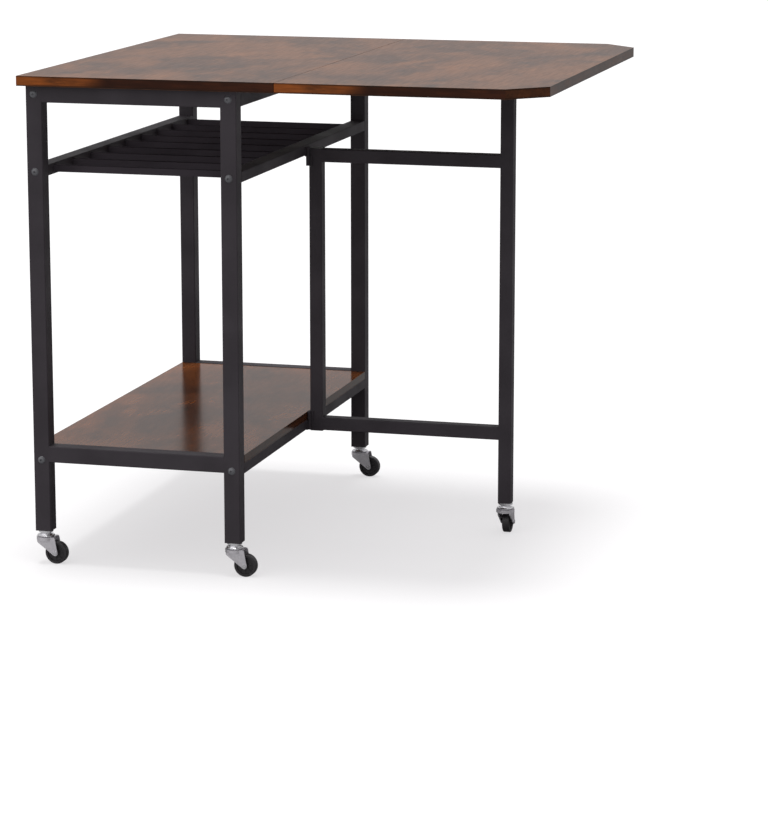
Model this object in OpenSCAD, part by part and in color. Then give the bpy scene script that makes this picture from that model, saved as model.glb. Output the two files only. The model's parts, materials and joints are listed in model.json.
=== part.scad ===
// Drop leaf kitchen island on casters: a square-tube frame with a board top, a grid rack and a low shelf.
// The leaf hangs on three hinges under the seam. Raised, it rests on a swing-out gate with its own caster.
// +X runs from the fixed board to the leaf, +Y away from the front, +Z up, and the origin is on the floor
// under the middle of the raised top. All lengths are in millimetres.

/* [Top] */
// Height of the worktop over the floor
top_z = 900; // [850:5:950]
// Depth of the boards, front to back
top_depth = 900; // [700:10:1100]
// Width of the fixed board
top_w = 480; // [440:5:600]
// Width of the drop leaf
leaf_w = 479; // [440:1:520]
// Thickness of both boards
board_t = 18; // [15:1:25]
// Gap between the fixed board and the leaf
seam_gap = 1; // [1:0.5:4]
// Length cut off each outer corner of the leaf
leaf_chamfer = 65; // [20:1:110]

/* [Frame] */
// Side of the square leg and end rail tube
leg_s = 30; // [28:1:40]
// Wall of the frame tube
tube_wall = 1.5; // [1:0.1:2.5]
// Outer corner radius of every tube
tube_r = 2; // [0.5:0.5:3]
// Overhang of the board past the legs, left, front and back
overhang = 12.5; // [5:0.5:30]
// Distance of the frame's right face from the fixed board's right edge
frame_setback = 72.5; // [60:0.5:90]
// Height of the flat side rails of the rack and the shelf
side_h = 20; // [16:1:30]
// Height of the underside of the shelf's side rails
shelf_z = 187; // [150:1:250]
// Number of screws from each side rail into the board that it carries
rail_screw_n = 3; // [2:1:5]

/* [Rack and shelf] */
// Distance of the underside of the rack's side rails below the gate's top, which hangs on them
rack_drop = 13; // [4:0.5:19]
// Number of rack bars
bar_n = 9; // [5:1:13]
// Distance between rack bars
bar_pitch = 94; // [50:1:95]
// Side of a square rack bar
bar_s = 12; // [8:1:14]
// Thickness of the shelf board
shelf_t = 15; // [12:1:18]
// Height of the shelf end rail above the shelf's side rail underside
shelf_end_lift = 6; // [2:1:12]

/* [Gate] */
// Side of the square gate tube
gate_s = 25; // [20:1:30]
// Wall of the gate tube
gate_wall = 1.2; // [1:0.1:2]
// Width of the gate from its inner to its outer post
gate_w = 397; // [330:1:420]
// Height of the gate's two rails, outside to outside
gate_h = 544; // [440:1:560]
// Height of the gate's underside over the floor
gate_z = 186; // [150:1:230]
// Distance of the open gate's front face from the front edge of the boards
gate_y = 446; // [430:1:470]
// Gap between the leg line and the open gate's inner post
gate_gap = 4.5; // [4:0.1:8]
// Clearance between the gate's cap and the leaf
leaf_gap = 0.4; // [0.2:0.1:1]
// Thickness of the plastic cap on the gate's outer post
cap_t = 2.6; // [1.5:0.1:5]
// Thickness of the flange of the plugs in the gate's inner post
plug_t = 1.5; // [1:0.1:3]
// Depth of a plug or cap inside its post
plug_l = 12; // [8:0.5:16]
// Length of the gate stop
stop_l = 95; // [50:1:120]
// Width of the gate stop
stop_w = 8; // [6:0.5:12]
// Height of the gate stop
stop_h = 10; // [6:0.5:16]
// Clearance between the gate's outer post and its stop
stop_gap = 0.4; // [0.2:0.1:1]
// Distance of the stop's screws from its ends
stop_screw_inset = 16; // [10:1:22]

/* [Gate hinges] */
// Diameter of a hinge barrel
barrel_d = 7; // [6.5:0.1:8]
// Diameter of a hinge pin
gate_pin_d = 4; // [3:0.1:4.5]
// Length of one barrel half
half_l = 18; // [14:0.5:20]
// Thickness of the weld-on flap of a barrel half
flap_t = 2; // [1.5:0.1:3]
// Width of the weld-on flap of a barrel half
flap_w = 8; // [6:0.5:12]
// Distance of the upper hinge's parting line below the rack rail
upper_split_drop = 0.9; // [0.5:0.1:1.5]

/* [Leaf hinges] */
// Number of leaf hinges
leaf_hinge_n = 3; // [2:1:4]
// Distance between leaf hinges
leaf_hinge_pitch = 300; // [200:5:340]
// Length of a leaf hinge
leaf_hinge_l = 60; // [48:2:76]
// Width of a leaf hinge plate
leaf_plate_w = 34; // [28:1:44]
// Thickness of a leaf hinge plate
leaf_plate_t = 2; // [1.2:0.1:2.5]
// Outer diameter of a leaf hinge knuckle
knuckle_d = 9; // [8:0.1:9.2]
// Diameter of a leaf hinge pin
leaf_pin_d = 4; // [3:0.1:5]
// Depth of the hinge axis below the boards
leaf_axis_drop = 5; // [4.8:0.1:6]
// Distance of the leaf hinge screws from the middle line of their plate
leaf_screw_off = 6; // [4:0.5:8]

/* [Casters] */
// Height of a caster from the floor to the foot of its tube
caster_h = 63; // [61:0.5:75]
// Wheel diameter
wheel_d = 42; // [36:0.5:44]
// Width of the wheel's tyre
wheel_w = 14; // [10:0.5:18]
// Distance of the wheel's axle behind the swivel axis
trail = 21; // [16:0.5:24]
// Diameter of the seat ring under the tube
seat_d = 27; // [24:0.5:30]
// Thickness of the seat ring
seat_t = 3.5; // [2:0.1:5]
// Diameter of the threaded stem
stem_d = 10; // [8:0.5:12]
// Length of the stem inside the tube
stem_l = 28; // [18:1:36]
// Diameter of the neck between the seat ring and the race
neck_d = 18; // [15:0.5:22]
// Height of the neck
neck_h = 3.5; // [2:0.1:5]
// Diameter of the swivel race
race_d = 32; // [29:0.5:35]
// Height of the race
race_h = 5; // [4:0.1:7]
// Diameter of the race's upper step
race_step_d = 25; // [22:0.5:26]
// Size of the rolled lips on the race
race_lip = 1; // [0.6:0.1:1.4]
// Diameter of the rivet that holds the fork to the race
rivet_d = 8; // [6:0.5:9]
// Diameter of the rivet's head
rivet_head_d = 14; // [11:0.5:16]
// Thickness of the rivet's head
rivet_head_t = 2; // [1:0.1:2.5]
// Diameter of the round front of the fork's crown
crown_d = 35; // [32:0.5:38]
// Height of the skirt round the crown
skirt_h = 6.5; // [4:0.1:7]
// Outer width over the fork's cheeks
fork_w = 25; // [23:0.5:28]
// Thickness of the fork's sheet
fork_t = 1.8; // [1.2:0.1:2.1]
// Radius of the cheeks' round ends at the axle
fork_end_r = 5; // [4:0.1:7]
// Radius of the cheeks' upper rear corners
fork_ear_r = 3; // [2:0.1:4]
// Diameter of the axle
axle_d = 5; // [4:0.1:6]
// Diameter of the axle's riveted heads
axle_head_d = 7.5; // [7:0.1:9]
// Thickness of the axle's riveted heads
axle_head_t = 1.2; // [0.8:0.1:2]
// Outer diameter of the wheel's hub
hub_d = 11; // [10:0.5:14]
// Width of the flat side face of the tyre, shoulder included
rim_w = 5; // [4:0.5:7]
// Radius of the tyre's shoulders
shoulder_r = 1.8; // [1:0.1:2.5]
// Depth of the dish in each side of the wheel
dish_t = 2.2; // [1.5:0.1:3]
// Number of ribs in each dish
rib_n = 8; // [4:1:12]
// Thickness of a rib
rib_t = 1.2; // [0.8:0.1:2]
// Depth of the ribs below the tyre's side face
rib_drop = 0.6; // [0.2:0.1:1]

/* [Fasteners] */
// Diameter of a frame bolt's shank
bolt_d = 6; // [5:0.1:8]
// Diameter of a frame bolt's domed head
bolt_head_d = 14; // [10:0.5:16]
// Height of a frame bolt's domed head
bolt_head_h = 3.4; // [2.5:0.1:5]
// Size across the flats of a frame bolt's socket
bolt_socket = 4; // [3:0.5:5]
// Length of a frame bolt's shank
bolt_l = 44; // [40:1:50]
// Diameter of a wood screw's shank
screw_d = 4; // [3:0.1:5]
// Diameter of a wood screw's head
screw_head_d = 8; // [6:0.5:10]
// Height of a wood screw's head
screw_head_h = 2; // [1.5:0.1:3]
// Depth of a wood screw in a board
screw_bite = 11; // [6:0.5:12]
// Length of the threaded inserts in the side rails
insert_l = 16; // [12:1:24]

/* [Fits] */
// Clearance between neighbouring pieces that don't touch
fit_gap = 0.3; // [0.2:0.05:0.5]
// Radial clearance of a pin, stem or bolt in its hole
pin_gap = 0.05; // [0.02:0.01:0.1]
// Clearance of an insert in its tube
insert_gap = 0.1; // [0.05:0.05:0.2]

/* [Hidden] */

$fn = 48;
eps = 1;

// The top: its left edge, seam, right edge and underside
total_w = top_w + seam_gap + leaf_w;
x_left = -total_w / 2;
x_seam = x_left + top_w;
x_right = total_w / 2;
y_front = -top_depth / 2;
under_z = top_z - board_t;

// The frame: centres of the legs, its outer faces and its levels, with the rack at the top of the gate
frame_x0 = x_left + overhang;
frame_x1 = x_seam - frame_setback;
leg_x0 = frame_x0 + leg_s / 2;
leg_x1 = frame_x1 - leg_s / 2;
leg_y = top_depth / 2 - overhang - leg_s / 2;
inner_x = (leg_x0 + leg_x1) / 2;
span_x = leg_x1 - leg_x0 - leg_s;
span_y = 2 * leg_y - leg_s;
leg_l = under_z - caster_h;
gate_top_z = gate_z + gate_h;
rack_z = gate_top_z - rack_drop;
tube_in = leg_s - 2 * tube_wall;
side_in = side_h - 2 * tube_wall;
top_rail_z = under_z - leg_s / 2;
rack_rail_z = rack_z + side_h / 2;
shelf_rail_z = shelf_z + side_h / 2;
shelf_top_z = shelf_z + side_h;
shelf_end_z = shelf_z + shelf_end_lift + leg_s / 2;
bolt_levels = [top_rail_z, rack_rail_z, shelf_rail_z];

// The open gate: its hinge axis, post centres and levels
gate_x0 = frame_x1 + gate_gap;
gate_x1 = gate_x0 + gate_w;
gate_axis_x = frame_x1 + barrel_d / 2;
gate_axis_y = y_front + gate_y - barrel_d / 2;
gate_cy = y_front + gate_y + gate_s / 2;
post_in_x = gate_x0 + gate_s / 2;
post_out_x = gate_x1 - gate_s / 2;
post_top_z = under_z - leaf_gap - cap_t;
gate_tube_in = gate_s - 2 * gate_wall;
upper_split_z = rack_z - upper_split_drop;
lower_split_z = shelf_z + side_h - tube_r;
stop_y = y_front + gate_y + gate_s + stop_gap + stop_w / 2;

// The leaf hinges: axis, and the length of the middle knuckle
leaf_axis_x = x_seam + seam_gap / 2;
leaf_axis_z = under_z - leaf_axis_drop;
knuckle_l = leaf_hinge_l / 3;
plate_start = knuckle_d / 2 + fit_gap;

// The caster: levels from the floor, and the length of the wheel's hub between the cheeks
axle_z = wheel_d / 2;
race_z = caster_h - seat_t - neck_h - race_h;
crown_top_z = race_z - fit_gap;
skirt_z = crown_top_z - skirt_h;
rivet_z = crown_top_z - fork_t - fit_gap;
hub_w = fork_w - 2 * fork_t - 2 * fit_gap;

// Places of n copies about 0, one pitch apart
function centred(n, pitch) = [for (i = [0 : n - 1]) (i - (n - 1) / 2) * pitch];

// ---- shared shapes ----

// Square tube profile with round corners
module rounded_rect(w, d, r) {
    square([w - 2 * r, d], center = true);
    square([w, d - 2 * r], center = true);
    for (x = [-1, 1], y = [-1, 1])
        translate([x * (w / 2 - r), y * (d / 2 - r)]) circle(r);
}

module tube_profile(w, d, wall) {
    difference() {
        rounded_rect(w, d, tube_r);
        square([w - 2 * wall, d - 2 * wall], center = true);
    }
}

// A tube of section w by d and length l, centred on the origin, along Z, X or Y
module tube_z(w, d, l, wall) {
    translate([0, 0, -l / 2]) linear_extrude(l) tube_profile(w, d, wall);
}

module tube_x(h, d, l, wall) {
    rotate([0, 90, 0]) tube_z(h, d, l, wall);
}

module tube_y(w, h, l, wall) {
    rotate([90, 0, 0]) tube_z(w, h, l, wall);
}

// Welds, ground flush, at both ends of a tube_x of side s and length l: each fills the round corner of the
// post that the tube meets
module end_welds(s, l) {
    for (mx = [0, 1], my = [0, 1])
        mirror([mx, 0, 0]) mirror([0, my, 0])
            translate([l / 2, s / 2 - tube_r, tube_r - s / 2])
                linear_extrude(s - 2 * tube_r) difference() {
                    square(tube_r);
                    translate([tube_r, 0]) circle(tube_r + pin_gap);
                }
}

// A rod of diameter d from z = z0 to z = z1
module rod(d, z0, z1) {
    translate([0, 0, z0]) cylinder(d = d, h = z1 - z0);
}

// A domed bolt with a hex socket, seated at z = 0, with its shank towards -Z
module socket_bolt(d, l, head_d, head_h, socket) {
    dome_r = (head_d * head_d / 4 + head_h * head_h) / (2 * head_h);
    socket_floor = head_h / 3;
    difference() {
        union() {
            rod(d, -l, eps);
            intersection() {
                rod(head_d, 0, head_h);
                translate([0, 0, head_h - dome_r]) sphere(dome_r, $fn = 96);
            }
        }
        translate([0, 0, socket_floor]) cylinder(d = socket / cos(30), h = head_h, $fn = 6);
    }
}

// A wood screw with a cross recess in its head under z = 0, and its shank going up by l
module screw(l) {
    recess_w = screw_d / 5;
    difference() {
        union() {
            rod(screw_d, -eps, l);
            rod(screw_head_d, -screw_head_h, 0);
        }
        for (a = [0, 90])
            translate([0, 0, -screw_head_h]) rotate(a)
                cube([screw_head_d / 2, recess_w, screw_head_h], center = true);
    }
}

// ---- boards ----

module top_board() {
    color("#6b4a35")
    difference() {
        translate([x_left, y_front, under_z]) cube([top_w, top_depth, board_t]);
        top_screw_places() rod(screw_d + 2 * pin_gap, -eps, screw_bite + pin_gap);
        leaf_screw_places(-1) rod(screw_d + 2 * pin_gap, -eps, screw_bite + pin_gap);
    }
}

module drop_leaf() {
    color("#6b4a35")
    difference() {
        translate([0, 0, under_z]) linear_extrude(board_t) polygon([
            [x_seam + seam_gap, y_front],
            [x_right - leaf_chamfer, y_front],
            [x_right, y_front + leaf_chamfer],
            [x_right, -y_front - leaf_chamfer],
            [x_right - leaf_chamfer, -y_front],
            [x_seam + seam_gap, -y_front]
        ]);
        leaf_screw_places(1) rod(screw_d + 2 * pin_gap, -eps, screw_bite + pin_gap);
        stop_screw_places() rod(screw_d + 2 * pin_gap, -eps, screw_bite + pin_gap);
    }
}

module shelf_board() {
    color("#7a6a60")
    difference() {
        translate([frame_x0, -span_y / 2 + fit_gap, shelf_top_z])
            cube([frame_x1 - frame_x0, span_y - 2 * fit_gap, shelf_t]);
        shelf_screw_places() rod(screw_d + 2 * pin_gap, -eps, screw_bite + pin_gap);
    }
}

// ---- frame ----

// The two outer Y faces of a leg hold bolts: side is -1 at the front and 1 at the back
module leg(x, side) {
    color("#2f2d30")
    difference() {
        translate([x, side * leg_y, caster_h + leg_l / 2]) tube_z(leg_s, leg_s, leg_l, tube_wall);
        for (z = bolt_levels)
            translate([x, side * leg_y, z]) rotate([90, 0, 0])
                rod(bolt_d + 2 * pin_gap, -leg_s, leg_s);
    }
}

module leg_front_left() leg(leg_x0, -1);
module leg_front_right() leg(leg_x1, -1);
module leg_back_left() leg(leg_x0, 1);
module leg_back_right() leg(leg_x1, 1);

// A rail between two legs of one end frame
module end_rail(side, z) {
    color("#2f2d30")
    translate([inner_x, side * leg_y, z]) {
        tube_x(leg_s, leg_s, span_x, tube_wall);
        end_welds(leg_s, span_x);
    }
}

module top_end_rail_front() end_rail(-1, top_rail_z);
module top_end_rail_back() end_rail(1, top_rail_z);
module shelf_end_rail_front() end_rail(-1, shelf_end_z);
module shelf_end_rail_back() end_rail(1, shelf_end_z);

// A side rail between a front and a back leg
module side_rail(x, z, h) {
    color("#2f2d30")
    translate([x, 0, z]) tube_y(leg_s, h, span_y, tube_wall);
}

module top_side_rail(x) {
    difference() {
        side_rail(x, top_rail_z, leg_s);
        top_screw_places() rod(screw_d + 2 * pin_gap, -leg_s - eps, eps);
    }
}

module top_side_rail_left() top_side_rail(leg_x0);
module top_side_rail_right() top_side_rail(leg_x1);
module rack_rail_left() side_rail(leg_x0, rack_rail_z, side_h);
module rack_rail_right() side_rail(leg_x1, rack_rail_z, side_h);

module shelf_side_rail(x) {
    difference() {
        side_rail(x, shelf_rail_z, side_h);
        shelf_screw_places() rod(screw_d + 2 * pin_gap, -side_h - eps, eps);
    }
}

module shelf_side_rail_left() shelf_side_rail(leg_x0);
module shelf_side_rail_right() shelf_side_rail(leg_x1);

module rack_bars() {
    color("#2a282b")
    for (y = centred(bar_n, bar_pitch))
        translate([inner_x, y, rack_rail_z]) cube([span_x, bar_s, bar_s], center = true);
}

// ---- fasteners of the frame ----

// The ends of the side rails, in plan, each with +Y out through its leg
module rail_ends() {
    for (x = [leg_x0, leg_x1], side = [-1, 1])
        translate([x, side * leg_y, 0]) rotate(side > 0 ? 0 : 180) children();
}

// A block in the end of a side rail, with the hole that takes the bolt
module rail_insert(h) {
    rotate([90, 0, 0]) difference() {
        translate([0, 0, leg_s / 2 + insert_l / 2])
            cube([tube_in - 2 * insert_gap, h - 2 * insert_gap, insert_l], center = true);
        rod(bolt_d + 2 * pin_gap, 0, leg_s + insert_l);
    }
}

module rail_inserts() {
    color("#8f9194")
    rail_ends() {
        translate([0, 0, top_rail_z]) rail_insert(tube_in);
        translate([0, 0, rack_rail_z]) rail_insert(side_in);
        translate([0, 0, shelf_rail_z]) rail_insert(side_in);
    }
}

module frame_bolts() {
    color("#232225")
    rail_ends()
        for (z = bolt_levels)
            translate([0, leg_s / 2, z]) rotate([-90, 0, 0])
                socket_bolt(bolt_d, bolt_l, bolt_head_d, bolt_head_h, bolt_socket);
}

// Screw places along both side rails, in plan
module rail_screw_places() {
    for (x = [leg_x0, leg_x1], y = centred(rail_screw_n, (span_y - 2 * leg_s) / (rail_screw_n - 1)))
        translate([x, y, 0]) children();
}

module top_screw_places() {
    rail_screw_places() translate([0, 0, under_z]) children();
}

module top_board_screws() {
    color("#4a4a4d")
    top_screw_places() translate([0, 0, -leg_s]) screw(leg_s + screw_bite);
}

module shelf_screw_places() {
    rail_screw_places() translate([0, 0, shelf_top_z]) children();
}

module shelf_screws() {
    color("#4a4a4d")
    shelf_screw_places() translate([0, 0, -side_h]) screw(side_h + screw_bite);
}

// A plug in the foot of a post, with the hole that takes a caster stem
module foot_insert(inner) {
    difference() {
        translate([0, 0, caster_h + stem_l / 2])
            cube([inner - 2 * insert_gap, inner - 2 * insert_gap, stem_l], center = true);
        rod(stem_d + 2 * pin_gap, caster_h - eps, caster_h + stem_l + eps);
    }
}

module leg_inserts() {
    color("#8f9194")
    for (x = [leg_x0, leg_x1], y = [-leg_y, leg_y])
        translate([x, y, 0]) foot_insert(tube_in);
}

// ---- leaf hinges ----

module leaf_hinge_places() {
    for (y = centred(leaf_hinge_n, leaf_hinge_pitch))
        translate([leaf_axis_x, y, leaf_axis_z]) children();
}

// Screw places of the leaf hinges: side is -1 under the fixed board and 1 under the leaf
module leaf_screw_places(side) {
    plate_mid = (plate_start + leaf_plate_w) / 2;
    leaf_hinge_places()
        for (k = [-1, 0, 1]) {
            off = k == 0 ? leaf_screw_off : -leaf_screw_off;
            translate([side * (plate_mid + off), k * knuckle_l, leaf_axis_drop]) children();
        }
}

// One plate with its knuckles, which are listed as thirds of the hinge: -1 front, 0 middle, 1 back
module hinge_plate(side, knuckles) {
    difference() {
        translate([side > 0 ? plate_start : -leaf_plate_w, -leaf_hinge_l / 2,
                leaf_axis_drop - leaf_plate_t])
            cube([leaf_plate_w - plate_start, leaf_hinge_l, leaf_plate_t]);
        for (y = [-1, 1])
            translate([side * leaf_plate_w, y * leaf_hinge_l / 2, 0])
                rotate(45) cube([leaf_plate_t * 2, leaf_plate_t * 2, 4 * leaf_axis_drop], center = true);
    }
    for (k = knuckles) {
        y0 = k * knuckle_l - knuckle_l / 2 + fit_gap / 2;
        kl = knuckle_l - fit_gap;
        difference() {
            union() {
                translate([0, y0 + kl, 0]) rotate([90, 0, 0]) rod(knuckle_d, 0, kl);
                translate([side > 0 ? 0 : -plate_start - eps, y0, leaf_axis_drop - leaf_plate_t])
                    cube([plate_start + eps, kl, leaf_plate_t - (leaf_axis_drop - knuckle_d / 2)]);
            }
            translate([0, y0 + kl + eps, 0]) rotate([90, 0, 0])
                rod(leaf_pin_d + 2 * pin_gap, 0, kl + 2 * eps);
        }
    }
}

module leaf_hinge_fixed_plates() {
    color("#7d7f83")
    difference() {
        leaf_hinge_places() hinge_plate(-1, [-1, 1]);
        leaf_screw_places(-1) rod(screw_d + 2 * pin_gap, -leaf_plate_t - eps, eps);
    }
}

module leaf_hinge_moving_plates() {
    color("#7d7f83")
    difference() {
        leaf_hinge_places() hinge_plate(1, [0]);
        leaf_screw_places(1) rod(screw_d + 2 * pin_gap, -leaf_plate_t - eps, eps);
    }
}

module leaf_hinge_pins() {
    color("#9a9ca0")
    leaf_hinge_places()
        rotate([90, 0, 0]) rod(leaf_pin_d, -leaf_hinge_l / 2, leaf_hinge_l / 2);
}

module plate_screws(side) {
    leaf_screw_places(side) translate([0, 0, -leaf_plate_t]) screw(leaf_plate_t + screw_bite);
}

module leaf_hinge_fixed_screws() {
    color("#9a9ca0") plate_screws(-1);
}

module leaf_hinge_moving_screws() {
    color("#9a9ca0") plate_screws(1);
}

// ---- gate stop under the leaf ----

module stop_screw_places() {
    for (x = centred(2, stop_l - 2 * stop_screw_inset))
        translate([post_out_x + x, stop_y, under_z]) children();
}

module gate_stop() {
    color("#1f1e20")
    difference() {
        translate([post_out_x - stop_l / 2, stop_y - stop_w / 2, under_z - stop_h])
            cube([stop_l, stop_w, stop_h]);
        stop_screw_places() rod(screw_d + 2 * pin_gap, -stop_h - eps, eps);
    }
}

module gate_stop_screws() {
    color("#4a4a4d")
    stop_screw_places() translate([0, 0, -stop_h]) screw(stop_h + screw_bite);
}

// ---- gate ----

module gate_inner_post() {
    color("#2f2d30")
    translate([post_in_x, gate_cy, gate_z + gate_h / 2]) tube_z(gate_s, gate_s, gate_h, gate_wall);
}

module gate_outer_post() {
    color("#2f2d30")
    translate([post_out_x, gate_cy, (post_top_z + caster_h) / 2])
        tube_z(gate_s, gate_s, post_top_z - caster_h, gate_wall);
}

module gate_rail(z) {
    rail_l = gate_w - 2 * gate_s;
    color("#2f2d30")
    translate([(post_in_x + post_out_x) / 2, gate_cy, z]) {
        tube_x(gate_s, gate_s, rail_l, gate_wall);
        end_welds(gate_s, rail_l);
    }
}

module gate_top_rail() gate_rail(gate_top_z - gate_s / 2);
module gate_bottom_rail() gate_rail(gate_z + gate_s / 2);

// A plug that closes the end of a gate post at z = 0, with a flange of thickness t on it
module post_plug(t) {
    side = gate_tube_in - 2 * insert_gap;
    linear_extrude(t) rounded_rect(gate_s, gate_s, tube_r);
    translate([-side / 2, -side / 2, -plug_l]) cube([side, side, plug_l + t / 2]);
}

// The outer post's cap carries the leaf
module gate_post_cap() {
    color("#1f1e20") translate([post_out_x, gate_cy, post_top_z]) post_plug(cap_t);
}

module gate_post_plugs() {
    color("#1f1e20") {
        translate([post_in_x, gate_cy, gate_top_z]) post_plug(plug_t);
        translate([post_in_x, gate_cy, gate_z]) mirror([0, 0, 1]) post_plug(plug_t);
    }
}

module gate_insert() {
    color("#8f9194")
    translate([post_out_x, gate_cy, 0]) foot_insert(gate_tube_in);
}

// ---- gate hinges ----

// Half that is welded to the frame, with the pin on top of it; its flap lies on the rail's face
module frame_half() {
    rod(barrel_d, -half_l, -fit_gap / 2);
    rod(gate_pin_d, -fit_gap, half_l - fit_gap);
    translate([-barrel_d / 2, -flap_w, -half_l]) cube([flap_t, flap_w, half_l - fit_gap / 2]);
}

// Half that is welded to the gate, with the bore for the pin; its flap lies on the post's face
module gate_half() {
    difference() {
        union() {
            rod(barrel_d, fit_gap / 2, half_l);
            translate([0, barrel_d / 2 - flap_t, fit_gap / 2])
                cube([flap_w, flap_t, half_l - fit_gap / 2]);
        }
        rod(gate_pin_d + 2 * pin_gap, 0, half_l + eps);
    }
}

// The upper hinge is the lower one turned upside down
module gate_hinge_places() {
    translate([gate_axis_x, gate_axis_y, lower_split_z]) children();
    translate([gate_axis_x, gate_axis_y, upper_split_z]) mirror([0, 0, 1]) children();
}

module gate_hinge_frame_halves() {
    color("#2f2d30") gate_hinge_places() frame_half();
}

module gate_hinge_gate_halves() {
    color("#2f2d30") gate_hinge_places() gate_half();
}

// ---- casters ----

// A caster stands at its swivel axis with its wheel trailing at angle a; levels are over the floor
module caster_place(x, y, a) {
    translate([x, y, 0]) rotate(a) children();
}

// Stem, seat ring, neck and race are one turned piece; the rivet below the race holds the fork
module caster_stem() {
    step_z = race_z + race_h / 2;
    rod(stem_d, caster_h - eps, caster_h + stem_l);
    rod(seat_d, caster_h - seat_t, caster_h);
    rod(neck_d, race_z + race_h - eps, caster_h - seat_t + eps);
    rotate_extrude() polygon([
        [0, race_z],
        [race_d / 2 - race_lip, race_z],
        [race_d / 2, race_z + race_lip],
        [race_d / 2, step_z],
        [race_d / 2 - race_lip, step_z + race_lip],
        [race_step_d / 2, step_z + race_lip],
        [race_step_d / 2 - race_lip, race_z + race_h],
        [0, race_z + race_h]
    ]);
    rod(rivet_d, rivet_z - eps, race_z + eps);
    rod(rivet_head_d, rivet_z - rivet_head_t, rivet_z);
}

// Plan of the fork: round at the front, with straight flanks that run back to x = back
module fork_plan(inset, back) {
    circle(crown_d / 2 - inset);
    translate([0, inset - fork_w / 2]) square([back, fork_w - 2 * inset]);
}

// Outline of one cheek, in the plane of the wheel: the skirt, the upper rear corner and the end at the axle
module cheek_outline() {
    hull() {
        translate([-crown_d / 2, skirt_z]) square([crown_d / 2, skirt_h]);
        translate([trail - fork_ear_r, crown_top_z - fork_ear_r]) circle(fork_ear_r, $fn = 32);
        translate([trail, axle_z]) circle(fork_end_r, $fn = 32);
    }
}

// Pressed sheet: a crown with a skirt that is open at the back, and two cheeks that start in its front
module caster_fork() {
    crown_back = trail - fork_ear_r;
    difference() {
        union() {
            difference() {
                translate([0, 0, skirt_z]) linear_extrude(skirt_h) fork_plan(0, crown_back);
                translate([0, 0, skirt_z - eps])
                    linear_extrude(skirt_h - fork_t + eps) fork_plan(fork_t, crown_back + eps);
            }
            intersection() {
                for (y = [fork_t - fork_w / 2, fork_w / 2])
                    translate([0, y, 0]) rotate([90, 0, 0]) linear_extrude(fork_t) cheek_outline();
                linear_extrude(caster_h) fork_plan(0, trail + 2 * fork_end_r);
            }
        }
        rod(rivet_d + 2 * pin_gap, skirt_z - eps, crown_top_z + eps);
        translate([trail, 0, axle_z]) rotate([90, 0, 0])
            rod(axle_d + 2 * pin_gap, -fork_w, fork_w);
    }
}

module caster_axle() {
    translate([trail, 0, axle_z]) rotate([90, 0, 0]) {
        rod(axle_d, -fork_w / 2 - axle_head_t, fork_w / 2 + axle_head_t);
        for (s = [0, 1])
            mirror([0, 0, s])
                rod(axle_head_d, fork_w / 2 + fit_gap / 2, fork_w / 2 + axle_head_t);
    }
}

// Half of the wheel's section, from the hub's end over the dish and the rim to the shoulder, at z > 0
function wheel_side() = concat(
    [
        [axle_d / 2 + pin_gap, hub_w / 2],
        [hub_d / 2, hub_w / 2],
        [hub_d / 2, wheel_w / 2 - dish_t],
        [wheel_d / 2 - rim_w - dish_t / 2, wheel_w / 2 - dish_t],
        [wheel_d / 2 - rim_w, wheel_w / 2]
    ],
    [for (a = [0 : 18 : 90])
        [wheel_d / 2 - shoulder_r * (1 - sin(a)), wheel_w / 2 - shoulder_r * (1 - cos(a))]]
);

// Wheel: a tyre with round shoulders, a dish with ribs in each side, and a hub between the cheeks
module caster_wheel() {
    side = wheel_side();
    far_side = [for (i = [len(side) - 1 : -1 : 0]) [side[i][0], -side[i][1]]];
    rib_l = wheel_d / 2 - rim_w - hub_d / 2 + rib_t / 2;
    rib_z = wheel_w / 2 - dish_t - rib_drop;
    translate([trail, 0, axle_z]) rotate([90, 0, 0]) {
        rotate_extrude($fn = 72) polygon(concat(side, far_side));
        for (i = [0 : rib_n - 1], s = [0, 1])
            rotate(i * 360 / rib_n) mirror([0, 0, s])
                translate([hub_d / 2 - rib_t / 2, -rib_t / 2, rib_z]) cube([rib_l, rib_t, dish_t]);
    }
}

module stem_at(x, y) {
    color("#b9bbbf") translate([x, y, 0]) caster_stem();
}

module fork_at(x, y, a) {
    color("#a7a3a9") caster_place(x, y, a) caster_fork();
}

module axle_at(x, y, a) {
    color("#b9bbbf") caster_place(x, y, a) caster_axle();
}

module wheel_at(x, y, a) {
    color("#2b282c") caster_place(x, y, a) caster_wheel();
}

module caster_stem_front_left() stem_at(leg_x0, -leg_y);
module caster_fork_front_left() fork_at(leg_x0, -leg_y, 0);
module caster_axle_front_left() axle_at(leg_x0, -leg_y, 0);
module caster_wheel_front_left() wheel_at(leg_x0, -leg_y, 0);
module caster_stem_front_right() stem_at(leg_x1, -leg_y);
module caster_fork_front_right() fork_at(leg_x1, -leg_y, 0);
module caster_axle_front_right() axle_at(leg_x1, -leg_y, 0);
module caster_wheel_front_right() wheel_at(leg_x1, -leg_y, 0);
module caster_stem_back_left() stem_at(leg_x0, leg_y);
module caster_fork_back_left() fork_at(leg_x0, leg_y, 0);
module caster_axle_back_left() axle_at(leg_x0, leg_y, 0);
module caster_wheel_back_left() wheel_at(leg_x0, leg_y, 0);
module caster_stem_back_right() stem_at(leg_x1, leg_y);
module caster_fork_back_right() fork_at(leg_x1, leg_y, 0);
module caster_axle_back_right() axle_at(leg_x1, leg_y, 0);
module caster_wheel_back_right() wheel_at(leg_x1, leg_y, 0);
module caster_stem_gate() stem_at(post_out_x, gate_cy);
module caster_fork_gate() fork_at(post_out_x, gate_cy, 90);
module caster_axle_gate() axle_at(post_out_x, gate_cy, 90);
module caster_wheel_gate() wheel_at(post_out_x, gate_cy, 90);

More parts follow.
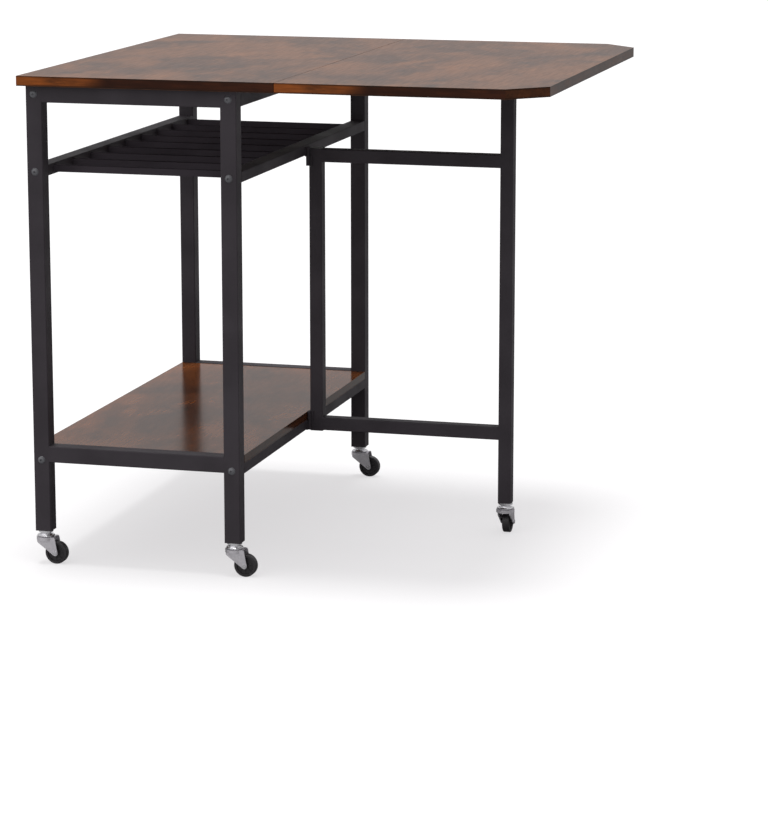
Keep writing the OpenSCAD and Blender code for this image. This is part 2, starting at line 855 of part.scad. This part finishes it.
top_board();
drop_leaf();
leg_front_left();
leg_front_right();
leg_back_left();
leg_back_right();
top_end_rail_front();
top_end_rail_back();
top_side_rail_left();
top_side_rail_right();
rack_rail_left();
rack_rail_right();
rack_bars();
shelf_side_rail_left();
shelf_side_rail_right();
shelf_end_rail_front();
shelf_end_rail_back();
shelf_board();
rail_inserts();
frame_bolts();
top_board_screws();
shelf_screws();
leg_inserts();
leaf_hinge_fixed_plates();
leaf_hinge_pins();
leaf_hinge_moving_plates();
leaf_hinge_fixed_screws();
leaf_hinge_moving_screws();
gate_stop();
gate_stop_screws();
gate_inner_post();
gate_outer_post();
gate_top_rail();
gate_bottom_rail();
gate_post_cap();
gate_post_plugs();
gate_insert();
gate_hinge_frame_halves();
gate_hinge_gate_halves();
caster_stem_front_left();
caster_fork_front_left();
caster_axle_front_left();
caster_wheel_front_left();
caster_stem_front_right();
caster_fork_front_right();
caster_axle_front_right();
caster_wheel_front_right();
caster_stem_back_left();
caster_fork_back_left();
caster_axle_back_left();
caster_wheel_back_left();
caster_stem_back_right();
caster_fork_back_right();
caster_axle_back_right();
caster_wheel_back_right();
caster_stem_gate();
caster_fork_gate();
caster_axle_gate();
caster_wheel_gate();
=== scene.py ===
# %% [markdown]
# # A drop leaf kitchen island
# The island is a black square-tube frame on casters. It carries a rustic-brown board top, a drop leaf that
# rests on a swing-out gate, a grid rack and a low shelf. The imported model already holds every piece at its
# real size, so this lesson is about the looks: the boards' printed wood, the powder coat, the zinc of the
# casters, the soft studio light and the camera.

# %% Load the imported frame
import json
import math

import bpy
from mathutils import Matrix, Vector


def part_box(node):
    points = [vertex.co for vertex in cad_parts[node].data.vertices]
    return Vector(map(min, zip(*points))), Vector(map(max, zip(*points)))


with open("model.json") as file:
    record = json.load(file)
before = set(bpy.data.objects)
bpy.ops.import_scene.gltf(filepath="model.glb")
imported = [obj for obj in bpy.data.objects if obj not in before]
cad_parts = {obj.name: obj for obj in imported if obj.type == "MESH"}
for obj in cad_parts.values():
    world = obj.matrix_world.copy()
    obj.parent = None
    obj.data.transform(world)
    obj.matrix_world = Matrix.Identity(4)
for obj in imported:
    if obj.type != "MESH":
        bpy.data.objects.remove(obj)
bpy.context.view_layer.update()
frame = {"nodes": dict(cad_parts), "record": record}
scene = bpy.context.scene

# %% [markdown]
# ## Measures taken from the frame
# A pattern on a board needs to know where its faces and its edges are. The boxes of the nodes say so, which
# keeps the finish in step with the model if a size changes.

# %% Read the boards' levels and edges
TOP_LOW, TOP_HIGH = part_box("top_board")
LEAF_LOW, LEAF_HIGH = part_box("drop_leaf")
SHELF_LOW, SHELF_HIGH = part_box("shelf_board")
SKIN = 0.0004  # how deep under a face its own pattern still counts, in metres
print("top from", tuple(round(v, 3) for v in TOP_LOW), "to", tuple(round(v, 3) for v in TOP_HIGH))

# %% [markdown]
# ## Small helpers for shader graphs
# A material is a graph of nodes. These helpers add a node, set its inputs and join it, so that each finish
# below reads as a short list of what it is made of. An effect that several materials share is a node group
# with named inputs and outputs. It is built once and placed in each material with its own values.


# %% Helpers that add and join shader nodes
def put(tree, node, name, value):
    """Sets one input of a node to a value or joins it to another node's output.

    The input goes by its name, or by its number after an i, as in i0.
    """
    socket = node.inputs[int(name[1:])] if name[0] == "i" and name[1:].isdigit() else node.inputs[name]
    if isinstance(value, bpy.types.NodeSocket):
        tree.links.new(value, socket)
    else:
        socket.default_value = value


def add(tree, kind, **inputs):
    """A new node of the kind, with its inputs set to values or joined to other nodes' outputs."""
    node = tree.nodes.new(kind)
    for name, value in inputs.items():
        put(tree, node, name, value)
    return node


def maths(tree, operation, a, b=0.0, clamp=False):
    """The output of a Math node on a and b."""
    node = add(tree, "ShaderNodeMath", i0=a, i1=b)
    node.operation = operation
    node.use_clamp = clamp
    return node.outputs[0]


def vector_maths(tree, operation, a, b):
    """The outputs of a Vector Math node on a and b."""
    node = tree.nodes.new("ShaderNodeVectorMath")
    node.operation = operation
    put(tree, node, "i0", a)
    put(tree, node, "i1", b)
    return node.outputs


def mix_colour(tree, factor, a, b, blend="MIX"):
    """The colour mix of a and b by factor."""
    node = tree.nodes.new("ShaderNodeMix")
    node.data_type = "RGBA"
    node.blend_type = blend
    put(tree, node, "i0", factor)
    put(tree, node, "i6", a)
    put(tree, node, "i7", b)
    return node.outputs[2]


def tinted(tree, colour, tint):
    """The colour multiplied by a tint."""
    return mix_colour(tree, 1.0, colour, tint, "MULTIPLY")


def band(tree, value, low, high, to_low=0.0, to_high=1.0):
    """A value eased from low..high, either way round, to to_low..to_high, and held past both ends."""
    node = tree.nodes.new("ShaderNodeMapRange")
    node.interpolation_type = "SMOOTHSTEP"
    put(tree, node, "i0", value)
    for number, setting in enumerate((low, high, to_low, to_high), start=1):
        node.inputs[number].default_value = setting
    return node.outputs[0]


def noise(tree, vector, scale, detail, roughness, distortion=0.0):
    """The value of a noise field at the vector; the scale is in cells for each metre."""
    node = add(tree, "ShaderNodeTexNoise", Vector=vector, Scale=scale, Detail=detail,
               Roughness=roughness, Distortion=distortion)
    return node.outputs["Fac"]


def stretched(tree, vector, scale):
    """The vector times a scale on each axis; a scale under 1 draws the pattern out along that axis."""
    return vector_maths(tree, "MULTIPLY", vector, scale)[0]


def rgb(red, green, blue):
    """A linear colour from the 0..255 values that a picture shows."""
    def linear(value):
        value = value / 255
        return value / 12.92 if value <= 0.04045 else ((value + 0.055) / 1.055) ** 2.4
    return (linear(red), linear(green), linear(blue), 1.0)


# %% Helpers for node groups and materials
SOCKET_KIND = {"Place": "NodeSocketVector", "Colour": "NodeSocketColor"}  # all other sockets are numbers
SURFACE = ("Colour", "Roughness", "Height")  # what the group of a whole finish puts out


def new_group(name, inputs, outputs):
    """An empty node group with sockets of those names, what it is given, and the node of its results."""
    tree = bpy.data.node_groups.new(name, "ShaderNodeTree")
    for direction, labels in (("INPUT", inputs), ("OUTPUT", outputs)):
        for label in labels:
            kind = SOCKET_KIND.get(label, "NodeSocketFloat")
            tree.interface.new_socket(label, in_out=direction, socket_type=kind)
    return tree, tree.nodes.new("NodeGroupInput").outputs, tree.nodes.new("NodeGroupOutput")


def place_group(tree, group, **inputs):
    """The outputs of a node group placed in the tree, with its inputs set or joined."""
    node = tree.nodes.new("ShaderNodeGroup")
    node.node_tree = group
    for name, value in inputs.items():
        put(tree, node, name, value)
    return node.outputs


def new_material(name):
    """A material with nodes, its tree, its shader and the surface point in Object coordinates."""
    material = bpy.data.materials.new(name)
    material.use_nodes = True
    tree = material.node_tree
    place = tree.nodes.new("ShaderNodeTexCoord").outputs["Object"]
    return material, tree, tree.nodes["Principled BSDF"], place


def emboss(tree, shader, height, strength, depth):
    """Feeds a height to the shader's normal through a bump whose depth is in metres."""
    bump = add(tree, "ShaderNodeBump", Strength=strength, Distance=depth, Height=height)
    put(tree, shader, "Normal", bump.outputs[0])


def make_surface(name, group, strength, depth, **values):
    """A material that takes its colour, roughness and bump from a finish's group, and its shader."""
    material, tree, shader, place = new_material(name)
    finish = place_group(tree, group, Place=place, **values)
    put(tree, shader, "Base Color", finish["Colour"])
    put(tree, shader, "Roughness", finish["Roughness"])
    emboss(tree, shader, finish["Height"], strength, depth)
    return material, shader


# %% [markdown]
# ## The rustic-brown print
# The boards are faced with a printed laminate: brown wood with honey patches, smoky dark clouds and fine
# grain. One node group draws it, from big to small: clouds, honey, smoke, streaks and pores. Each band says
# between which levels of a noise field an ink sets in. The grain runs along the group's own Y, so a board
# only has to hand it coordinates turned the right way.

# %% Group: the printed wood
LAYERS = {  # each noise field's stretch along the grain, scale, detail, roughness and distortion
    "clouds": (0.70, 6.5, 5.0, 0.55, 0.6),
    "warm": (0.5, 11.0, 4.0, 0.6, 0.5),
    "smoke": (0.7, 16.0, 6.0, 0.68, 1.1),
    "streak": (0.075, 190.0, 5.0, 0.62, 0.25),
    "fibre": (0.035, 620.0, 3.0, 0.6, 0.0),
}
DEEP_BROWN = rgb(68, 43, 29)
BROWN = rgb(98, 62, 38)
HONEY = rgb(120, 76, 45)
SOOT = rgb(44, 30, 23)
STREAK = rgb(46, 28, 19)
LIT = rgb(136, 86, 52)
PORE = rgb(30, 19, 13)
HONEY_SHARE = 0.6  # how much of an ink is laid on at most, here and in the next lines
SOOT_SHARE = 0.60
STREAK_SHARE = 0.36
LIT_SHARE = 0.16
PORE_SHARE = 0.28
SMOKE_ANYWHERE = 0.35  # how much of the smoke also shows where the clouds are bright


def make_print_group():
    """Colour and height of the printed wood at a point, with the grain along Y."""
    tree, given, result = new_group("rustic_print", ("Place", "Seed"), ("Colour", "Height"))
    seed = given["Seed"]
    shift = add(tree, "ShaderNodeCombineXYZ", X=seed, Y=seed, Z=seed).outputs[0]
    place = vector_maths(tree, "ADD", given["Place"], shift)[0]
    field = {}
    for label, (along, *settings) in LAYERS.items():
        field[label] = noise(tree, stretched(tree, place, (1.0, along, 1.0)), *settings)
    base = mix_colour(tree, band(tree, field["clouds"], 0.36, 0.62), DEEP_BROWN, BROWN)
    honeyed = mix_colour(tree, band(tree, field["warm"], 0.5, 0.72, 0.0, HONEY_SHARE), base, HONEY)
    dark = band(tree, field["smoke"], 0.50, 0.68)
    low_cloud = band(tree, field["clouds"], 0.62, 0.40)
    soot = maths(tree, "MULTIPLY", dark, maths(tree, "ADD", low_cloud, SMOKE_ANYWHERE), clamp=True)
    smoked = mix_colour(tree, maths(tree, "MULTIPLY", soot, SOOT_SHARE), honeyed, SOOT)
    streaked = mix_colour(tree, band(tree, field["streak"], 0.42, 0.66, 0.0, STREAK_SHARE), smoked, STREAK)
    lit = mix_colour(tree, band(tree, field["streak"], 0.46, 0.30, 0.0, LIT_SHARE), streaked, LIT)
    pores = band(tree, field["fibre"], 0.60, 0.74, 0.0, PORE_SHARE)
    put(tree, result, "Colour", mix_colour(tree, pores, lit, PORE))
    put(tree, result, "Height", maths(tree, "SUBTRACT", field["streak"], pores))
    return tree


rustic_print = make_print_group()

# %% [markdown]
# ## Boards with faces and edge bands
# A panel's broad faces carry one sheet of print, and its edges carry narrow bands of it with the grain
# along the edge. Object coordinates tell them apart: a point within a hair of the top or bottom level is on
# a face, and a point within a hair of the front or back line is on a band that runs along X. All other
# edges count as sides, also the slanting ones at the leaf's cut corners. A band along the front or back has
# a painted highlight at its left end, where the print is brightened to amber, and is dark from there on. A
# dark line of glue runs along both rims of every band.

# %% Material: laminated board
HIGHLIGHT_LENGTH = 0.15  # how far the painted highlight, an amber stretch of a band, reaches from its left end, in metres
HIGHLIGHT_FADE = (0.75, 1.15)  # it fades between these shares of its length
HIGHLIGHT_TINT = (2.7, 1.75, 0.70, 1.0)  # a tint multiplies the print there, painting the highlight
DARK_TINT = (0.42, 0.27, 0.20, 1.0)  # of the rest of a front or back band
SIDE_TINT = (0.55, 0.45, 0.40, 1.0)  # of the bands at the sides
GLUE_FULL = 0.0010  # how far under a face the glue line is still at its darkest, in metres
GLUE_GONE = 0.0036  # and where it has gone
GLUE_SHARE = 0.75  # how much of the band it covers at its darkest
PRINT_STEP = 3.7  # how far the seeds of a board's faces, front bands and side bands lie apart
GRAIN_GLOSS = 0.10  # how much the grain's height adds to the roughness
GRAIN_DEPTH = 0.00012  # of the pressed grain, in metres


def off_middle(tree, value, low, high):
    """How far a value lies from the middle of low..high."""
    return maths(tree, "ABSOLUTE", maths(tree, "SUBTRACT", value, (low + high) / 2))


def face_mask(tree, value, low, high):
    """1 within SKIN of either limit, 0 between them."""
    return maths(tree, "GREATER_THAN", off_middle(tree, value, low, high), (high - low) / 2 - SKIN)


def make_board(name, low, high, seed, finish):
    """Laminate with the print's grain along Y on both faces and along each edge's own length.

    finish holds the roughness, the specular level, the strength of the pressed grain and the painted light
    lift, which is a colour that multiplies the print of the faces to paint them paler as light.
    """
    roughness, gloss, relief, painted_light_lift = finish
    material, tree, shader, place = new_material(name)
    x, y, z = add(tree, "ShaderNodeSeparateXYZ", Vector=place).outputs
    from_left = maths(tree, "SUBTRACT", x, low.x)
    turns = {
        "face": add(tree, "ShaderNodeCombineXYZ", X=x, Y=y),
        "front": add(tree, "ShaderNodeCombineXYZ", X=z, Y=from_left, Z=y),
        "side": add(tree, "ShaderNodeCombineXYZ", X=z, Y=y, Z=x),
    }
    prints = {}
    for number, (part, turned) in enumerate(turns.items()):
        part_seed = seed + PRINT_STEP * number
        prints[part] = place_group(tree, rustic_print, Place=turned.outputs[0], Seed=part_seed)
    fade_start, fade_end = (HIGHLIGHT_LENGTH * share for share in HIGHLIGHT_FADE)
    # painted highlight: the print of a front or back band brightened to amber near its left end
    amber_highlight = tinted(tree, prints["front"]["Colour"], HIGHLIGHT_TINT)
    dark = tinted(tree, prints["front"]["Colour"], DARK_TINT)
    front = mix_colour(tree, band(tree, from_left, fade_start, fade_end, 1.0, 0.0), dark, amber_highlight)
    side = tinted(tree, prints["side"]["Colour"], SIDE_TINT)
    bare_edge = mix_colour(tree, face_mask(tree, y, low.y, high.y), side, front)
    half = (high.z - low.z) / 2
    from_middle = off_middle(tree, z, low.z, high.z)
    glue_line = band(tree, from_middle, half - GLUE_GONE, half - GLUE_FULL, 0.0, GLUE_SHARE)
    edge = mix_colour(tree, glue_line, bare_edge, PORE)
    # painted light: the faces' print multiplied by the finish's lift
    face = tinted(tree, prints["face"]["Colour"], painted_light_lift)
    grain = prints["face"]["Height"]
    rougher = maths(tree, "MULTIPLY", grain, GRAIN_GLOSS)
    put(tree, shader, "Base Color", mix_colour(tree, face_mask(tree, z, low.z, high.z), edge, face))
    put(tree, shader, "Roughness", maths(tree, "ADD", rougher, roughness))
    put(tree, shader, "Specular IOR Level", gloss)
    emboss(tree, shader, grain, relief, GRAIN_DEPTH)
    return material


# %% [markdown]
# ## Powder coat and black steel
# The tubes are powder coated: a near-black with a fine orange-peel skin. The skin is two layers of noise
# fed to a bump, and a slow third layer lets the tone and the roughness drift a little, as a sprayed coat
# does. The rack's bars get the same coat with its sheen taken off. The bolts and screws are black steel,
# which is the same group again with a paler tone, a lower roughness and a thinner skin.

# %% Group and material: powder coat
PEEL_FINE = 900.0  # scales of the noise layers, in cells for each metre
PEEL_COARSE = 260.0
COAT_DRIFT = 9.0
COAT_SHADE = (0.82, 0.82, 0.82, 1.0)  # what the drift multiplies the colour by at most
COAT_WANDER = (-0.05, 0.06)  # how far the drift moves the roughness
PEEL_STRENGTH = 0.6


def make_coat_group():
    """Colour, roughness and height of a sprayed coat with an orange-peel skin."""
    tree, given, result = new_group("sprayed_coat", ("Place", "Colour", "Roughness"), SURFACE)
    fine = noise(tree, given["Place"], PEEL_FINE, 2.0, 0.5)
    coarse = noise(tree, given["Place"], PEEL_COARSE, 2.0, 0.5)
    drift = noise(tree, given["Place"], COAT_DRIFT, 3.0, 0.5)
    shade = tinted(tree, given["Colour"], COAT_SHADE)
    wander = band(tree, drift, 0.3, 0.7, *COAT_WANDER)
    put(tree, result, "Colour", mix_colour(tree, band(tree, drift, 0.35, 0.65), given["Colour"], shade))
    put(tree, result, "Roughness", maths(tree, "ADD", given["Roughness"], wander))
    put(tree, result, "Height", maths(tree, "ADD", fine, coarse))
    return tree


sprayed_coat = make_coat_group()


def make_powder_coat(name, colour, roughness, peel, gloss):
    """Sprayed coat; peel is the depth of its skin in metres, gloss its specular level."""
    material, shader = make_surface(name, sprayed_coat, PEEL_STRENGTH, peel,
                                    Colour=colour, Roughness=roughness)
    shader.inputs["Specular IOR Level"].default_value = gloss
    return material


# %% [markdown]
# ## Bolts
# The bolt heads are paler than the tubes, and the floor of each hex socket is painted dark, as shade in
# the recess. No other flat part of a head lies at that depth, so the distance from the front or back of the
# island marks it.

# %% Material: bolts with painted shade in their sockets
SOCKET_DEPTH = 0.00227  # depth of a bolt's hex socket, in metres
# painted shade: the near-black laid on the floor of every hex socket
SOCKET_PAINTED_SHADE = rgb(12, 12, 13)


def paint_socket_shade(material, head_y):
    """Mixes near-black into a bolt finish at the socket floors as painted shade; head_y is how far out the
    heads reach.
    """
    tree = material.node_tree
    shader = tree.nodes["Principled BSDF"]
    tone = shader.inputs["Base Color"].links[0].from_socket
    place = tree.nodes.new("ShaderNodeTexCoord").outputs["Object"]
    y = add(tree, "ShaderNodeSeparateXYZ", Vector=place).outputs["Y"]
    past_floor = maths(tree, "SUBTRACT", maths(tree, "ABSOLUTE", y), head_y - SOCKET_DEPTH)
    socket_shade_mask = maths(tree, "LESS_THAN", maths(tree, "ABSOLUTE", past_floor), SKIN / 2)
    put(tree, shader, "Base Color", mix_colour(tree, socket_shade_mask, tone, SOCKET_PAINTED_SHADE))


# %% [markdown]
# ## Zinc and bright steel
# The caster forks and the leaf's hinge plates are pressed sheet with a pale zinc coat, and the caster
# stems, the axles and the pins are brighter. Both are metals, so the colour sits in the reflection. A
# cloudy noise varies the tone and the roughness, and a fine one, drawn out upwards, gives the reflections a
# grain.

# %% Group and material: plated metal
PLATE_CLOUD = 240.0  # scales of the noise layers, in cells for each metre
PLATE_GRAIN = 2600.0
PLATE_DRAW = (1.0, 1.0, 0.2)  # how the fine grain is drawn out
PLATE_SHADE = (0.86, 0.86, 0.86, 1.0)  # what the clouds multiply the colour by at most
PLATE_STRENGTH = 0.25
PLATE_DEPTH = 0.00005  # of the grain, in metres


def make_plating_group():
    """Colour, roughness and height of plated metal; Grain is how far the roughness wanders."""
    tree, given, result = new_group("plating", ("Place", "Colour", "Roughness", "Grain"), SURFACE)
    cloud = noise(tree, given["Place"], PLATE_CLOUD, 4.0, 0.6, 0.3)
    shade = tinted(tree, given["Colour"], PLATE_SHADE)
    wander = maths(tree, "MULTIPLY", band(tree, cloud, 0.3, 0.7, -1.0, 1.0), given["Grain"])
    fine = noise(tree, stretched(tree, given["Place"], PLATE_DRAW), PLATE_GRAIN, 2.0, 0.5)
    put(tree, result, "Colour", mix_colour(tree, band(tree, cloud, 0.3, 0.7), given["Colour"], shade))
    put(tree, result, "Roughness", maths(tree, "ADD", given["Roughness"], wander))
    put(tree, result, "Height", fine)
    return tree


plating = make_plating_group()


def make_metal(name, colour, roughness, grain):
    """Plated metal; grain is how far the roughness wanders."""
    material, shader = make_surface(name, plating, PLATE_STRENGTH, PLATE_DEPTH,
                                    Colour=colour, Roughness=roughness, Grain=grain)
    shader.inputs["Metallic"].default_value = 1.0
    return material


# %% [markdown]
# ## Moulded plastic
# The wheels, the gate stop, the post cap and the plugs are moulded black plastic, with a faint eggshell
# skin and a little dust that lightens it unevenly.

# %% Group and material: moulded plastic
EGGSHELL = 1500.0  # scales of the noise layers, in cells for each metre
DUST_CLOUD = 60.0
DUST_TONE = rgb(150, 146, 148)
DUST_DULLS = 0.12  # how much rougher the clouds make the plastic at most
EGGSHELL_STRENGTH = 0.4
EGGSHELL_DEPTH = 0.00006  # in metres


def make_moulding_group():
    """Colour, roughness and height of moulded plastic; Dust is how much pale tone lies on it."""
    tree, given, result = new_group("moulding", ("Place", "Colour", "Roughness", "Dust"), SURFACE)
    skin = noise(tree, given["Place"], EGGSHELL, 2.0, 0.5)
    cloud = noise(tree, given["Place"], DUST_CLOUD, 4.0, 0.6, 0.4)
    dusty = maths(tree, "MULTIPLY", band(tree, cloud, 0.45, 0.8), given["Dust"])
    dull = band(tree, cloud, 0.3, 0.7, 0.0, DUST_DULLS)
    put(tree, result, "Colour", mix_colour(tree, dusty, given["Colour"], DUST_TONE))
    put(tree, result, "Roughness", maths(tree, "ADD", given["Roughness"], dull))
    put(tree, result, "Height", skin)
    return tree


moulding = make_moulding_group()


def make_plastic(name, colour, roughness, dust):
    """Moulded plastic with an eggshell skin; dust is how much pale tone lies on it."""
    material, _ = make_surface(name, moulding, EGGSHELL_STRENGTH, EGGSHELL_DEPTH,
                               Colour=colour, Roughness=roughness, Dust=dust)
    return material


# %% [markdown]
# ## Dress the nodes
# Every node keeps its shape and only gets its finish. The record names a slot for each node, and one table
# from slot to material dresses most of the island. Five nodes have a finish of their own: the three boards,
# because each has its own levels, the frame's bolts with painted shade in their sockets, and the rack's
# bars in their matt coat. The shelf's print is lifted paler as painted light. The leaf takes the worktop's
# seed, so the print runs on across the seam.

# %% Give every node its material
finishes = {
    "powder_coat": make_powder_coat("powder_coat_black", rgb(60, 55, 60), 0.62, 0.00008, 0.20),
    "black_steel": make_powder_coat("black_oxide_steel", rgb(88, 88, 93), 0.30, 0.00003, 0.60),
    "zinc": make_metal("zinc_plate", rgb(218, 215, 220), 0.46, 0.06),
    "bright_steel": make_metal("bright_zinc_plate", rgb(232, 231, 235), 0.24, 0.06),
    "black_plastic": make_plastic("black_plastic", rgb(26, 25, 27), 0.45, 0.03),
    "wheel_black": make_plastic("wheel_plastic", rgb(38, 35, 38), 0.40, 0.06),
}
bolt_heads = make_powder_coat("bolt_steel", rgb(92, 92, 97), 0.30, 0.00003, 0.60)
paint_socket_shade(bolt_heads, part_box("frame_bolts")[1].y)
rack_coat = make_powder_coat("powder_coat_rack", rgb(62, 57, 62), 0.70, 0.00008, 0.0)
SATIN = (0.28, 0.12, 0.18, (1.0, 1.0, 1.0, 1.0))  # the worktop's roughness, specular level, relief and painted light lift, which here changes nothing
POLISHED_AND_PAINTED_LIGHT = (0.13, 0.08, 0.07, (1.45, 1.15, 0.85, 1.0))  # the same of the shelf, which is glossier, and whose lift paints its print paler as light
TOP_SEED = 0.0
SHELF_SEED = 5.3
own_finishes = {
    "rack_bars": rack_coat,
    "frame_bolts": bolt_heads,
    "top_board": make_board("top_print", TOP_LOW, TOP_HIGH, TOP_SEED, SATIN),
    "drop_leaf": make_board("leaf_print", LEAF_LOW, LEAF_HIGH, TOP_SEED, SATIN),
    "shelf_board": make_board("shelf_print", SHELF_LOW, SHELF_HIGH, SHELF_SEED, POLISHED_AND_PAINTED_LIGHT),
}
slots = {part["node"]: part["material_slot"] for part in frame["record"]["subparts"]}
for node_name, node_object in frame["nodes"].items():
    finish = own_finishes.get(node_name) or finishes[slots[node_name]]
    node_object.data.materials.clear()
    node_object.data.materials.append(finish)
print("dressed", len(frame["nodes"]), "nodes")

# %% [markdown]
# ## Floor and light
# The photograph is a bright studio. Its white floor runs out of the picture, and the light comes from all
# round. The world is a dome that grows brighter upwards, with one broad soft panel to the front left and
# one behind. A single soft lamp far overhead casts the pale shadow of the worktop. The floor itself is a
# mid grey, so that it throws little light on the frame from below, and a glow that only the camera sees
# makes it white.

# %% Floor
FLOOR_HALF = 30.0  # half the side of the floor, in metres
FLOOR_GREY = (0.30, 0.30, 0.30, 1.0)
FLOOR_ROUGHNESS = 0.7
GLOW_TONE = (1.0, 0.985, 1.0, 1.0)
FLOOR_GLOW = 0.62  # how much brighter than its own grey the camera sees the floor


def make_floor():
    """A flat square floor under the wheels."""
    corners = [(x * FLOOR_HALF, y * FLOOR_HALF, 0.0) for x, y in ((-1, -1), (1, -1), (1, 1), (-1, 1))]
    mesh = bpy.data.meshes.new("floor")
    mesh.from_pydata(corners, [], [[0, 1, 2, 3]])
    floor = bpy.data.objects.new("floor", mesh)
    scene.collection.objects.link(floor)
    material = bpy.data.materials.new("floor_white")
    material.use_nodes = True
    tree = material.node_tree
    shader = tree.nodes["Principled BSDF"]
    seen = tree.nodes.new("ShaderNodeLightPath").outputs["Is Camera Ray"]
    put(tree, shader, "Base Color", FLOOR_GREY)
    put(tree, shader, "Roughness", FLOOR_ROUGHNESS)
    put(tree, shader, "Specular IOR Level", 0.0)
    put(tree, shader, "Emission Color", GLOW_TONE)
    put(tree, shader, "Emission Strength", maths(tree, "MULTIPLY", seen, FLOOR_GLOW))
    mesh.materials.append(material)


make_floor()

# %% Lamp and world
LAMP_AIM = (-0.01, -0.04, -1.0)  # the way its light goes
LAMP_WIDTH = 0.36  # how wide it looks, in radians
LAMP_POWER = 2.8
WORLD_TONE = (1.0, 0.995, 1.0, 1.0)
HORIZON = 0.33  # the dome's strength there
ZENITH = 0.78  # and straight above
PANELS = (  # the way to a panel, how near to it the glow starts and how much strength it adds
    ((-0.62, -0.76, 0.20), 0.25, 0.72),
    ((-0.26, 0.94, 0.22), 0.70, 0.30),
)
PANEL_HEART = 0.97  # how near it is at full strength; each nearness is the cosine of an angle


def make_sun():
    """The soft lamp far overhead."""
    lamp = bpy.data.lights.new("overhead", "SUN")
    lamp.angle = LAMP_WIDTH
    lamp.energy = LAMP_POWER
    lamp_object = bpy.data.objects.new("overhead", lamp)
    lamp_object.rotation_euler = Vector(LAMP_AIM).to_track_quat("-Z", "Y").to_euler()
    scene.collection.objects.link(lamp_object)


def make_world():
    """The dome with its two panels. The camera itself sees plain white."""
    world = bpy.data.worlds.new("studio")
    world.use_nodes = True
    tree = world.node_tree
    background = tree.nodes["Background"]
    direction = tree.nodes.new("ShaderNodeTexCoord").outputs["Generated"]
    height = add(tree, "ShaderNodeSeparateXYZ", Vector=direction).outputs["Z"]
    strength = band(tree, height, 0.0, 1.0, HORIZON, ZENITH)
    for way, edge, extra in PANELS:
        nearness = vector_maths(tree, "DOT_PRODUCT", direction, Vector(way).normalized())["Value"]
        strength = maths(tree, "ADD", strength, band(tree, nearness, edge, PANEL_HEART, 0.0, extra))
    seen = tree.nodes.new("ShaderNodeLightPath").outputs["Is Camera Ray"]
    shown = add(tree, "ShaderNodeMix", i0=seen, i2=strength, i3=1.0)
    put(tree, background, "Color", WORLD_TONE)
    put(tree, background, "Strength", shown.outputs[0])
    return world


make_sun()
scene.world = make_world()
scene.view_settings.view_transform = "Standard"

# %% [markdown]
# ## Camera
# The place, the turn and the lens come from fitting the island's corners to the photograph. The picture is
# 768 by 840 points, so its long side is the height, and the lens is the focal length in points times the
# sensor's 36 mm over 840.

# %% Camera
FRAME_HIGH = 840  # the picture's long side, in points
SENSOR = 36.0  # in millimetres
FOCAL = 3164.7  # focal length, in the picture's points
CAMERA_PLACE = (1.6317, -5.7303, 1.4625)  # in metres
CAMERA_YAW = -0.2647  # turn from +Y towards +X, in radians
CAMERA_PITCH = -0.2076  # tilt above the horizon, in radians

view_direction = Vector((
    math.sin(CAMERA_YAW) * math.cos(CAMERA_PITCH),
    math.cos(CAMERA_YAW) * math.cos(CAMERA_PITCH),
    math.sin(CAMERA_PITCH),
))
camera_data = bpy.data.cameras.new("photograph")
camera_data.sensor_width = SENSOR
camera_data.lens = FOCAL * SENSOR / FRAME_HIGH
camera = bpy.data.objects.new("photograph", camera_data)
camera.location = CAMERA_PLACE
camera.rotation_euler = view_direction.to_track_quat("-Z", "Y").to_euler()
scene.collection.objects.link(camera)
scene.camera = camera
